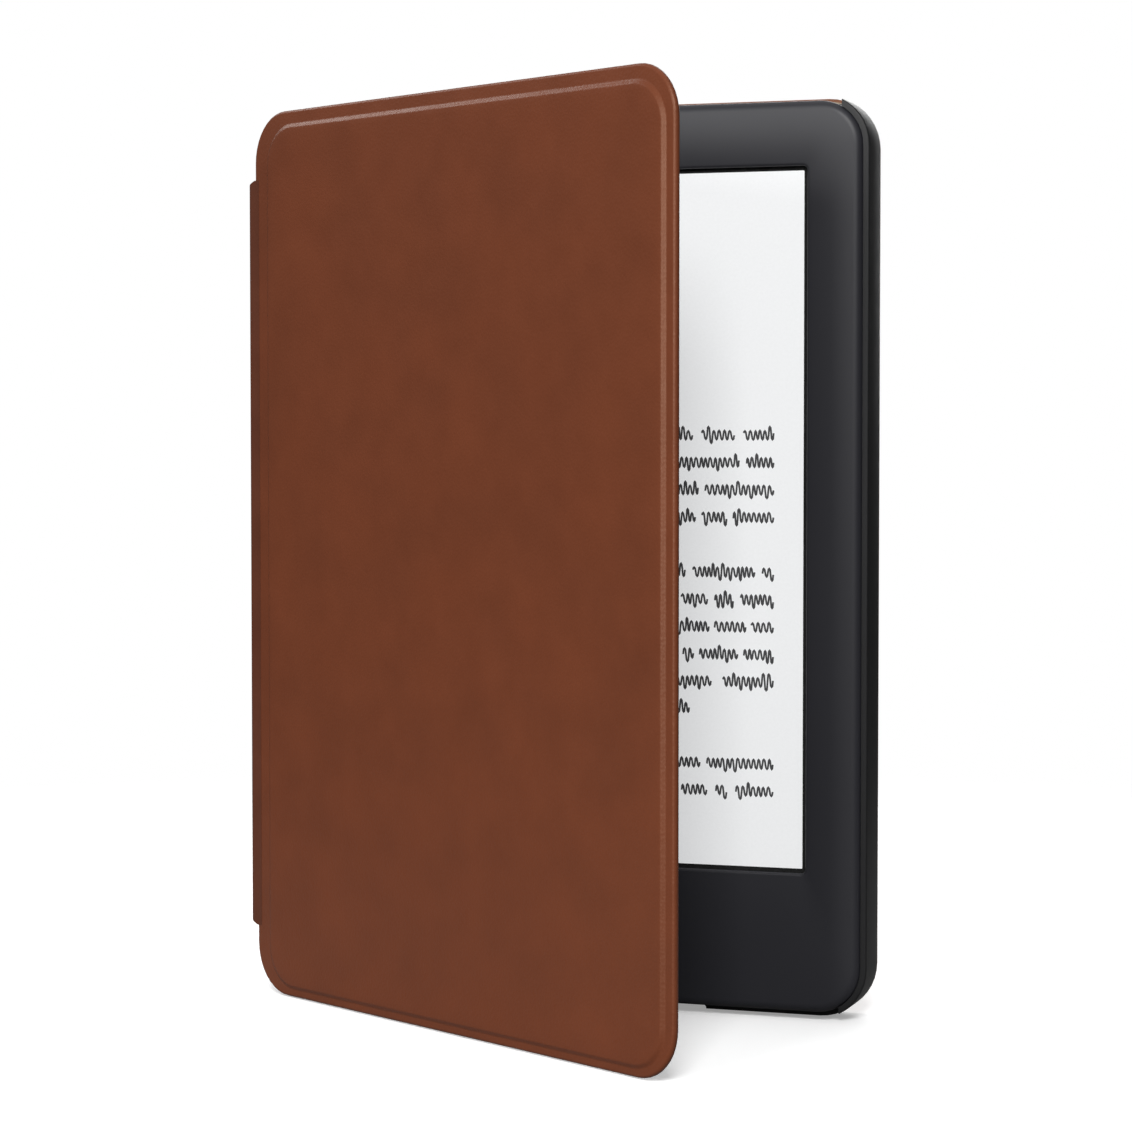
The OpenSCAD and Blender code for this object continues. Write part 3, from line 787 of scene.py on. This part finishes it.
class MakeHousing(bpy.types.Operator):
    """The e-reader's housing: front frame and rear cover"""

    bl_idname = "folio.housing"
    bl_label = "Housing"

    def execute(self, context):
        lo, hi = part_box("front_frame")
        rear_lo, rear_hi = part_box("rear_cover")
        outline = face_box("front_frame")
        gasket = face_box("screen_gasket")
        lap = 3 * MM
        # The opening shows a thin black line around the white screen, partly the dark gap at the opening's edge
        # and partly painted shadow that the bezel's edge casts
        opening = inset(gasket, lap - context.scene.folio_sizes.black_line)
        corner, wall = 8 * MM, 1.2 * MM
        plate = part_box("screen_gasket")[0].y
        bevel = 0.5 * MM
        front_turn = rounding(1.6 * MM, 0, 90)
        inner = inset(outline, wall)
        sections = [(outline, corner, hi.y)]
        sections += [(inset(outline, i), corner - i, lo.y + d) for i, d in front_turn]
        # The opening's edge rolls in before it drops to the screen
        roll = rounding(bevel, 90, 0)
        sections += [(inset(opening, -bevel + i), 0.8 * MM + bevel - i, lo.y + d)
                     for i, d in [(bevel - i, d) for i, d in roll]]
        sections += [(opening, 0.8 * MM, plate)]
        sections += [(inner, corner - wall, plate), (inner, corner - wall, hi.y)]
        bm = bmesh.new()
        loft(bm, sections, ring=True)
        bezel = make_piece("bezel", bm, "tray", finish_for("housing"))
        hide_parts("front_frame")

        outline = face_box("rear_cover")
        inner = inset(outline, wall)
        back_turn = rounding(2.8 * MM, 0, 90)
        inner_turn = rounding(1.6 * MM, 0, 90)
        seam = 0.12 * MM
        sections = [(inset(outline, i), corner - i, rear_hi.y - d) for i, d in reversed(back_turn)]
        sections += [(outline, corner, rear_lo.y + seam), (inset(outline, seam), corner - seam, rear_lo.y)]
        sections += [(inner, corner - wall, rear_lo.y)]
        sections += [(inset(inner, i), corner - wall - i, rear_hi.y - wall - d) for i, d in inner_turn]
        bm = bmesh.new()
        loft(bm, sections)
        rear = make_piece("rear_housing", bm, "tray", finish_for("housing"))
        gaps = {"charging_port": 0.15 * MM, "power_button": 0.1 * MM, "status_light": 0.15 * MM}
        for node, gap in gaps.items():
            carve(rear, self.bottom_hole(node, gap, outline[1]))
        soften(rear, 0.08 * MM)
        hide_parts("rear_cover")
        return {"FINISHED"}

    def bottom_hole(self, node, gap, bottom):
        """Cutter for a slot with round ends through the bottom wall, around a node."""
        lo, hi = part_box(node)
        if node == "power_button":
            # The key's flange behind the wall is wider than its cap
            lo, hi = lo + Vector((0.8, 0.3, 0)) * MM, hi - Vector((0.8, 0.3, 0)) * MM
        lo, hi = lo - Vector((gap, gap, 0)), hi + Vector((gap, gap, 0))
        cutter = bmesh.new()
        block(cutter, Vector((lo.x, lo.y, bottom - 1 * MM)), Vector((hi.x, hi.y, bottom + 2 * MM)))
        upright = [e for e in cutter.edges if abs(e.verts[0].co.z - e.verts[1].co.z) > 1 * MM]
        round_edges(cutter, upright, (hi.y - lo.y) * 0.499, 8)
        return cutter


def scribble(chance, periods):
    """A word as one wavy line of strokes, as (along, up) points. The lower-case height is 1."""
    points = [(0.0, chance.choice([0.4, 0.7]))]
    for _ in range(periods):
        crest = chance.choice([1.0, 1.0, 0.96, 1.04, 1.38])
        foot = chance.choice([0.0, 0.0, 0.04, -0.02, -0.36])
        width = chance.uniform(0.42, 0.62)
        start, middle = points[-1][0], (crest + foot) / 2
        over = ((0.1, crest - 0.12), (0.24, crest), (0.4, crest - 0.16), (0.5, middle))
        under = ((0.6, foot + 0.16), (0.76, foot), (0.9, foot + 0.12), (1.0, middle))
        points += [(start + width * share, up) for share, up in over + under]
    return points


class MakeScreen(bpy.types.Operator):
    """Screen surface and the page of marks that it shows"""

    bl_idname = "folio.screen"
    bl_label = "Screen"

    def execute(self, context):
        sizes = context.scene.folio_sizes
        lo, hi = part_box("touch_sheet")
        bm = bmesh.new()
        slab(bm, face_box("touch_sheet"), 1 * MM, lo.y, hi.y, 0.05 * MM)
        surface = make_piece("screen_surface", bm, "tray", finish_for("screen"))
        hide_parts("touch_sheet")

        # A black border frames the white part, and its outer edge is hidden by the bezel. The border is partly the
        # dark gap at the bezel's edge and partly painted shadow cast by the bezel
        white = inset(face_box("screen_gasket"), 3 * MM)
        around = inset(white, -sizes.black_line - 0.4 * MM)
        front = lo.y - 0.03 * MM
        bm = bmesh.new()
        sections = [(white, 0.2 * MM, lo.y), (white, 0.2 * MM, front)]
        sections += [(around, 1 * MM, front), (around, 1 * MM, lo.y)]
        loft(bm, sections, ring=True)
        # The black foam finish on this border carries the dark gap and the painted shadow
        make_piece("screen_border", bm, "tray", finish_for("foam_black"))

        left, right = white[0] + sizes.page_margin, white[2] - sizes.page_margin
        top = white[3] - sizes.first_line - sizes.letter_height / 2
        chance = random.Random(sizes.page_seed)
        pen = bpy.data.curves.new("pen", "CURVE")
        pen.dimensions, pen.bevel_resolution, pen.use_fill_caps = "3D", 0, True
        # A stroke is a fifth as thick as a lower sign is high
        pen.bevel_depth = sizes.letter_height * 0.1
        # Rows of three paragraphs. The second one ends before the right margin
        rows = [(row, 1) for row in (0, 1, 2, 3, 5, 6, 7, 8, 9)] + [(10, 0.85), (12, 1), (13, 1)]
        for row, share in rows:
            place = (left, left + (right - left) * share, top - row * sizes.line_pitch)
            self.line(pen, chance, *place, sizes.letter_height, share == 1)
        strokes = bpy.data.objects.new("strokes", pen)
        bm = bmesh.new()
        bm.from_mesh(bpy.data.meshes.new_from_object(strokes))
        bpy.data.objects.remove(strokes)
        # The round strokes are pressed to a film that barely stands out of the screen
        bmesh.ops.scale(bm, verts=bm.verts, vec=(1, 0.15, 1))
        bmesh.ops.translate(bm, verts=bm.verts, vec=(0, lo.y, 0))
        make_piece("page_marks", bm, "tray", finish_for("ink"))
        return {"FINISHED"}

    def line(self, pen, chance, left, right, bottom, height, justified):
        """A line of scribbled words. A full line's gaps stretch to reach the right margin."""
        space = height * 0.6
        words, used = [], 0
        while True:
            word = scribble(chance, chance.choice([2, 4, 4, 5, 6, 7, 8, 10, 13]))
            length = word[-1][0] * height
            if used + length > right - left:
                break
            words.append(word)
            used += length + space
        spare = right - left - sum(word[-1][0] * height for word in words)
        gap = spare / (len(words) - 1) if justified else space
        x = left
        for word in words:
            stroke = pen.splines.new("POLY")
            stroke.points.add(len(word) - 1)
            for point, (along, up) in zip(stroke.points, word):
                point.co = (x + along * height, 0, bottom + up * height, 1)
            x += word[-1][0] * height + gap


class MakeInside(bpy.types.Operator):
    """Finishes of the pieces inside, and of the socket and the power button"""

    bl_idname = "folio.inside"
    bl_label = "Inner pieces"

    def execute(self, context):
        slots = {part["node"]: part["material_slot"] for part in frame["record"]["subparts"]}
        for name, node in frame["nodes"].items():
            slot = slots[name]
            if slot in ("screen_film", "leather", "housing", "tray"):
                continue
            node.data.materials.clear()
            node.data.materials.append(finish_for(slot))
        return {"FINISHED"}


class MakeStudio(bpy.types.Operator):
    """Pale floor, soft light and the camera"""

    bl_idname = "folio.studio"
    bl_label = "Studio"

    def execute(self, context):
        studio = context.scene.folio_studio
        scene = context.scene
        scene.view_settings.view_transform = "Standard"
        camera = bpy.data.cameras.new("camera")
        camera.lens, camera.sensor_width, camera.clip_start = studio.camera_lens, 36, 0.01
        eye = bpy.data.objects.new("camera", camera)
        eye.location = studio.camera_at
        eye.rotation_euler = (math.pi / 2 - studio.camera_dip, 0, studio.camera_turn)
        scene.collection.objects.link(eye)
        scene.camera = eye

        world = bpy.data.worlds.new("studio")
        world.use_nodes = True
        tree = world.node_tree
        room = tree.nodes["Background"]
        # The room is brightest overhead, as under a white ceiling
        way = add(tree, "ShaderNodeTexCoord").outputs["Generated"]
        height = add(tree, "ShaderNodeSeparateXYZ", Vector=way).outputs["Z"]
        rise = add(
            tree,
            "ShaderNodeMapRange",
            Value=height,
            From_Min=-0.1,
            From_Max=0.8,
            To_Min=studio.room_light * 0.3,
            To_Max=studio.room_light * 2,
        )
        room.inputs["Color"].default_value = linear("#ffffff")
        tree.links.new(rise.outputs["Result"], room.inputs["Strength"])
        # The backdrop is white, and the room that lights the object is dimmer than it
        backdrop = add(tree, "ShaderNodeBackground", Color=linear("#ffffff"), Strength=1.0)
        seen = add(tree, "ShaderNodeLightPath").outputs["Is Camera Ray"]
        mixed = add(tree, "ShaderNodeMixShader", i0=seen, i1=room.outputs[0], i2=backdrop.outputs[0])
        tree.links.new(mixed.outputs[0], tree.nodes["World Output"].inputs["Surface"])
        scene.world = world

        bm = bmesh.new()
        bmesh.ops.create_circle(bm, cap_ends=True, segments=96, radius=studio.floor_radius)
        mesh = bpy.data.meshes.new("floor")
        bm.to_mesh(mesh)
        bm.free()
        floor = bpy.data.objects.new("floor", mesh)
        floor.location.z = -0.0002
        scene.collection.objects.link(floor)
        mesh.materials.append(self.floor_paper(studio.floor_radius))

        self.lamp("key", (0.3, -0.95, 0.7), studio.key_power, 0.35)
        self.lamp("panel", (-0.3, -1.0, 0.28), studio.panel_power, 0.4)
        self.lamp("overhead", (0.0, 0.15, 1.1), studio.overhead_power, 0.7)
        self.lamp("rim", (-0.75, 0.2, 0.65), studio.rim_power, 0.25)
        self.lamp("back", (-0.2, 0.95, 0.45), studio.back_power, 0.7)
        return {"FINISHED"}

    def floor_paper(self, radius):
        """White seamless paper: matt, and fades into the backdrop towards its rim."""
        finish, tree, shader, at = new_finish("floor_paper", "#f6f6f6", 0.9, specular=0.0)
        # The paper is seen white, and throws back less light than it shows, so it doesn't flood the object
        seen = add(tree, "ShaderNodeLightPath").outputs["Is Camera Ray"]
        dim, white = linear("#8a8a8a"), linear("#f6f6f6")
        tone = add(tree, "ShaderNodeMix", {"data_type": "RGBA"}, i0=seen, i6=dim, i7=white)
        tree.links.new(tone.outputs[2], shader.inputs["Base Color"])
        glow = add(tree, "ShaderNodeMath", {"operation": "MULTIPLY"}, i0=seen, i1=0.3)
        tree.links.new(glow.outputs["Value"], shader.inputs["Emission Strength"])
        distance = add(tree, "ShaderNodeVectorMath", {"operation": "LENGTH"}, i0=at).outputs["Value"]
        fade = add(
            tree,
            "ShaderNodeMapRange",
            {"interpolation_type": "SMOOTHSTEP"},
            Value=distance,
            From_Min=radius * 0.35,
            From_Max=radius * 0.98,
            To_Min=1.0,
            To_Max=0.0,
        )
        tree.links.new(fade.outputs["Result"], shader.inputs["Alpha"])
        return finish

    def lamp(self, name, place, power, size):
        """Square soft box that faces the middle of the object."""
        light = bpy.data.lights.new(name, "AREA")
        light.energy, light.size = power, size
        lamp = bpy.data.objects.new(name, light)
        lamp.location = place
        aim = Vector((0, -0.02, 0.08)) - Vector(place)
        lamp.rotation_euler = aim.to_track_quat("-Z", "Y").to_euler()
        bpy.context.scene.collection.objects.link(lamp)


class FolioPanel(bpy.types.Panel):
    """Sidebar panel that lists the pieces and their settings"""

    bl_idname = "VIEW3D_PT_folio"
    bl_label = "Folio E-Reader"
    bl_space_type = "VIEW_3D"
    bl_region_type = "UI"
    bl_category = "Reader"

    def draw(self, context):
        for group in ("folio_look", "folio_sizes", "folio_studio"):
            settings = getattr(context.scene, group)
            for key in settings.__annotations__:
                self.layout.prop(settings, key)
        for operator in OPERATORS:
            self.layout.operator(operator.bl_idname)


OPERATORS = (MakeStudio, MakeCover, MakeSpine, MakeBack, MakeTray, MakeHousing, MakeScreen, MakeInside)
CLASSES = (FolioLook, FolioSizes, FolioStudio, *OPERATORS, FolioPanel)


def register():
    for cls in CLASSES:
        bpy.utils.register_class(cls)
    bpy.types.Scene.folio_look = PointerProperty(type=FolioLook)
    bpy.types.Scene.folio_sizes = PointerProperty(type=FolioSizes)
    bpy.types.Scene.folio_studio = PointerProperty(type=FolioStudio)


def unregister():
    del bpy.types.Scene.folio_look
    del bpy.types.Scene.folio_sizes
    del bpy.types.Scene.folio_studio
    for cls in reversed(CLASSES):
        bpy.utils.unregister_class(cls)


def main():
    register()
    for operator in OPERATORS:
        group, call = operator.bl_idname.split(".")
        getattr(getattr(bpy.ops, group), call)()


if __name__ == "__main__":
    main()
